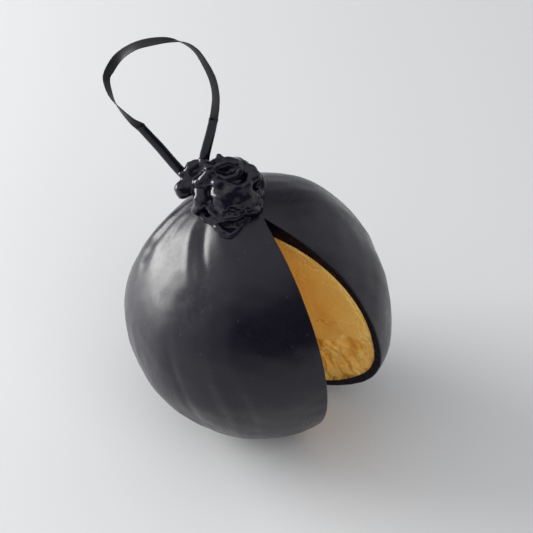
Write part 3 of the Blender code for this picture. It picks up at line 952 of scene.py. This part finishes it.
# %% The finish of the wax
def black_wax(name, scratches=1.0, gloss=1.0, shine=0.5):
    finish, tree, shader = new_finish(name)
    places = object_places(tree)
    along = object_places(tree, (1, 1, 0.12))
    patches = noise(tree, places, 55, detail=2)
    rubs = noise(tree, along, 900, detail=4, roughness=0.6)
    fine = noise(tree, places, 1500, detail=2)
    cells = add_node(tree, "ShaderNodeTexVoronoi", Scale=260.0)
    tree.links.new(places, cells.inputs["Vector"])
    speck = remap(tree, cells.outputs["Distance"], 0.05, 0.11, 1.0, 0.0)
    tone = mix_colours(tree, patches, (0.0034, 0.0026, 0.0082), (0.0052, 0.0042, 0.0110))
    tone = mix_colours(tree, combine(tree, "MULTIPLY", speck, 0.35), tone, (0.05, 0.05, 0.06))
    tree.links.new(tone, shader.inputs["Base Color"])
    dull = remap(tree, patches, 0.35, 0.7, 0.25 * gloss, 0.36 * gloss)
    dull = combine(tree, "ADD", dull, remap(tree, rubs, 0.45, 0.75, 0.0, 0.10 * scratches))
    tree.links.new(dull, shader.inputs["Roughness"])
    relief = combine(tree, "ADD", combine(tree, "MULTIPLY", rubs, 0.55 * scratches),
                     combine(tree, "MULTIPLY", fine, 0.25))
    relief = combine(tree, "SUBTRACT", relief, combine(tree, "MULTIPLY", speck, 0.5))
    add_bump(tree, shader, relief, 0.035 * MM)
    shader.inputs["IOR"].default_value = 1.46
    shader.inputs["Specular IOR Level"].default_value = shine
    return finish


coat.data.materials.append(black_wax("black_wax_ball"))
# The knife leaves the cut face of the wax dull, so it hardly shines there.
coat.data.materials.append(black_wax("black_wax_cut", shine=0.06))
knot_wax = black_wax("black_wax_knot", scratches=0.3, gloss=0.6)
for piece in (knot, left_end, right_end):
    piece.data.materials.append(knot_wax)

# %% [markdown]
# ## Golden cheddar
# Fresh cut cheddar is a warm butter gold. It lets a little light in, so its shadows glow, and in the
# narrow cut the two faces light each other and look deeper than the cheese does in the open. The golds
# used here are deeper and more orange than the cheese's own colour. That extra depth is painted warm
# light, standing in for the light that the cut-off slice lying beside the ball would bounce into the cut.
#
# Colour varies softly from paler to deeper, with a fine curd grain. Pits and tears are darker because
# they are deep, which the relief already does, so the nodes only add a fine, paler grain of curds.

# %% The finish of the cheese
# All three golds hold painted warm bounce light: they are deeper and more orange than the cheese's own
# colour.
DEEP_GOLD = (0.90, 0.55, 0.125)
PALE_GOLD = (0.94, 0.62, 0.17)
CURD_GOLD = (0.95, 0.70, 0.30)


def cheddar_gold_with_painted_bounce():
    finish, tree, shader = new_finish("cheddar_gold_with_painted_bounce")
    places = object_places(tree)
    broad = noise(tree, places, 70, detail=3)
    curds = noise(tree, places, 420, detail=4, roughness=0.6)
    grain = noise(tree, places, 1600, detail=3)
    tone = mix_colours(tree, remap(tree, broad, 0.3, 0.7, 0, 1), DEEP_GOLD, PALE_GOLD)
    tone = mix_colours(tree, remap(tree, curds, 0.52, 0.74, 0, 0.5), tone, CURD_GOLD)
    tree.links.new(tone, shader.inputs["Base Color"])
    tree.links.new(remap(tree, curds, 0.3, 0.7, 0.42, 0.62), shader.inputs["Roughness"])
    relief = combine(tree, "ADD", combine(tree, "MULTIPLY", curds, 0.8),
                     combine(tree, "MULTIPLY", grain, 0.4))
    add_bump(tree, shader, relief, 0.06 * MM)
    shader.inputs["Subsurface Weight"].default_value = 0.25
    shader.inputs["Subsurface Radius"].default_value = (1.0, 0.55, 0.2)
    shader.inputs["Subsurface Scale"].default_value = 1.6 * MM
    return finish


cheese.data.materials.append(cheddar_gold_with_painted_bounce())

# %% [markdown]
# ## Black satin
# Satin is woven so that its long threads lie on top, side by side. It shines in a broad pale sheen where
# it is turned to the window, and looks nearly black from other sides. The twist of the ribbon does most
# of that. A very fine noise stands for the threads, and the shine is soft and weak.

# %% The finish of the ribbon
def black_satin():
    finish, tree, shader = new_finish("black_satin")
    threads = noise(tree, object_places(tree), 5200, detail=2)
    shader.inputs["Base Color"].default_value = (0.012, 0.011, 0.014, 1)
    tree.links.new(remap(tree, threads, 0.3, 0.7, 0.36, 0.50), shader.inputs["Roughness"])
    shader.inputs["Specular IOR Level"].default_value = 0.25
    add_bump(tree, shader, threads, 0.02 * MM)
    return finish


ribbon.data.materials.append(black_satin())

# %% [markdown]
# ## Tie the pieces to the model
# Each dressed piece rides on the one body of the cheese and stands for the plain solid under it. The
# ribbon starts at the end of the left dipped end and goes back into the right.

# %% Riders, and the plain solids they stand for
for piece, node, finish_slot in (
    (coat, "wax_coat", "black_wax"),
    (knot, "wax_coat", "black_wax"),
    (cheese, "cheese", "cheddar"),
    (left_end, "ribbon_end_left", "black_wax"),
    (right_end, "ribbon_end_right", "black_wax"),
    (ribbon, "ribbon", "ribbon"),
):
    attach(piece, "root")
    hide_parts(node)
